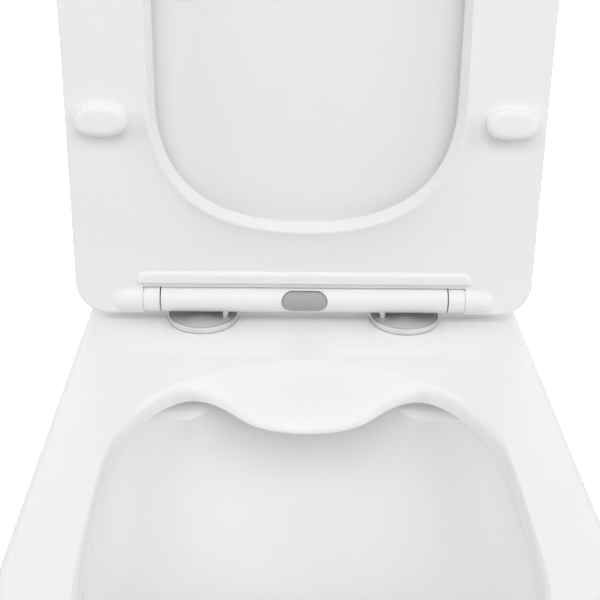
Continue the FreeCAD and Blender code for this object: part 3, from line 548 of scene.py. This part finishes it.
metalPieces = {
    "zincPlate": {"nodes": ("stud_washers", "stud_nuts", "seat_bolts", "damper_screws"),
                  "tint": (0.66, 0.67, 0.68), "stretch": (1.0, 1.0, 1.0), "bump": 0.06, "bumpDepth": 0.0001,
                  "skin": {"Streak Scale": 240.0, "Streak Amount": 0.3, "Roughness": 0.28, "Wear": 0.15}},
    "postChrome": {"nodes": ("hinge_post_left", "hinge_post_right"),
                   "tint": (0.86, 0.86, 0.87), "stretch": (1.0, 1.0, 0.05), "bump": 0.01, "bumpDepth": 0.0001,
                   "skin": {"Streak Scale": 500.0, "Streak Amount": 0.06, "Roughness": 0.06, "Wear": 0.05}},
    "latchSteel": {"nodes": ("latch_left", "latch_right", "latch_spring_left", "latch_spring_right",
                             "seat_damper_shaft", "lid_damper_shaft"),
                   "tint": (0.62, 0.61, 0.6), "stretch": (0.06, 1.0, 1.0), "bump": 0.05, "bumpDepth": 0.0001,
                   "skin": {"Streak Scale": 700.0, "Streak Amount": 0.2, "Roughness": 0.25, "Wear": 0.1}},
    "nutBrass": {"nodes": ("plug_nuts",),
                 "tint": (0.75, 0.58, 0.28), "stretch": (1.0, 1.0, 1.0), "bump": 0.05, "bumpDepth": 0.0001,
                 "skin": {"Streak Scale": 400.0, "Streak Amount": 0.2, "Roughness": 0.28, "Wear": 0.1}},
}

spunDisc = {
    "tint": (0.86, 0.86, 0.855), "bump": 0.1, "bumpDepth": 0.00005,
    "ringDrift": 0.0006, "spin": 0.6, "grainRise": 0.002,
    # rimShadeDepth sets the painted shade along the rim line and at the disc's foot
    "rimRadius": 0.0262, "rimLine": 0.0007, "rimShadeDepth": 0.45, "rimRoughness": 0.34, "footTop": 0.0828,
    "skin": {"Streak Scale": 2600.0, "Streak Amount": 0.22, "Roughness": 0.58, "Wear": 0.05},
}

spunPieces = {
    "spunLeft": {"nodes": ("hinge_disc_left",), "middle": (-0.079, -0.0842, 0.0)},
    "spunRight": {"nodes": ("hinge_disc_right",), "middle": (0.079, -0.0842, 0.0)},
}


def dress(pieces, maker, shared):
    for name, finish in pieces.items():
        material = maker(name, {**shared, **finish})
        for node in finish["nodes"]:
            nodes[node].data.materials.clear()
            nodes[node].data.materials.append(material)


dress(chinaPieces, chinaFinish, china)
dress(glossPieces, glossFinish, glossPlastic)
dress(mattPieces, mattFinish, {})
dress(gapShadedPieces, gapShadedFinish, {})
dress(metalPieces, metalFinish, {})
dress(spunPieces, spunFinish, spunDisc)
print("every node dressed")

# latch springs, wound as wire coils in place of the springs in model.glb

coilSettings = {"turns": 5, "stepsPerTurn": 28, "wireSides": 10, "wireRadius": 0.00035, "stroke": 0.004}

coilPieces = {
    "latchCoilLeft": {"node": "latch_spring_left", "joint": "latch_slide_left", "fixedEnd": -0.0802},
    "latchCoilRight": {"node": "latch_spring_right", "joint": "latch_slide_right", "fixedEnd": 0.0802},
}


def windCoil(name, coil, settings):
    low, high = (Vector(corner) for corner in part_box(coil["node"]))
    middle, wire = (low + high) / 2, settings["wireRadius"]
    steps = settings["turns"] * settings["stepsPerTurn"]
    mesh = bmesh.new()
    upright = Matrix.Rotation(math.radians(90.0), 4, "X")  # the wire's section stands across its first turn
    start = Matrix.Translation((low.x + wire, middle.y, high.z - wire)) @ upright
    bmesh.ops.create_circle(mesh, segments=settings["wireSides"], radius=wire, matrix=start)
    bmesh.ops.spin(mesh, geom=mesh.verts[:] + mesh.edges[:], cent=middle, axis=(1.0, 0.0, 0.0), steps=steps,
                   angle=math.tau * settings["turns"], dvec=((high.x - low.x - 2.0 * wire) / steps, 0.0, 0.0))
    bmesh.ops.holes_fill(mesh, edges=[edge for edge in mesh.edges if edge.is_boundary])
    bmesh.ops.recalc_face_normals(mesh, faces=mesh.faces[:])
    for face in mesh.faces:
        face.smooth = len(face.verts) == 4  # the cut ends stay flat
    piece = bpy.data.objects.new(name, bpy.data.meshes.new(name))
    mesh.to_mesh(piece.data)
    mesh.free()
    bpy.context.scene.collection.objects.link(piece)
    piece.data.materials.append(bpy.data.materials["latchSteel"])
    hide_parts(coil["node"])
    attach(piece, "pan")
    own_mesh(piece)


for name, coil in coilPieces.items():
    windCoil(name, coil, coilSettings)
print("springs wound")
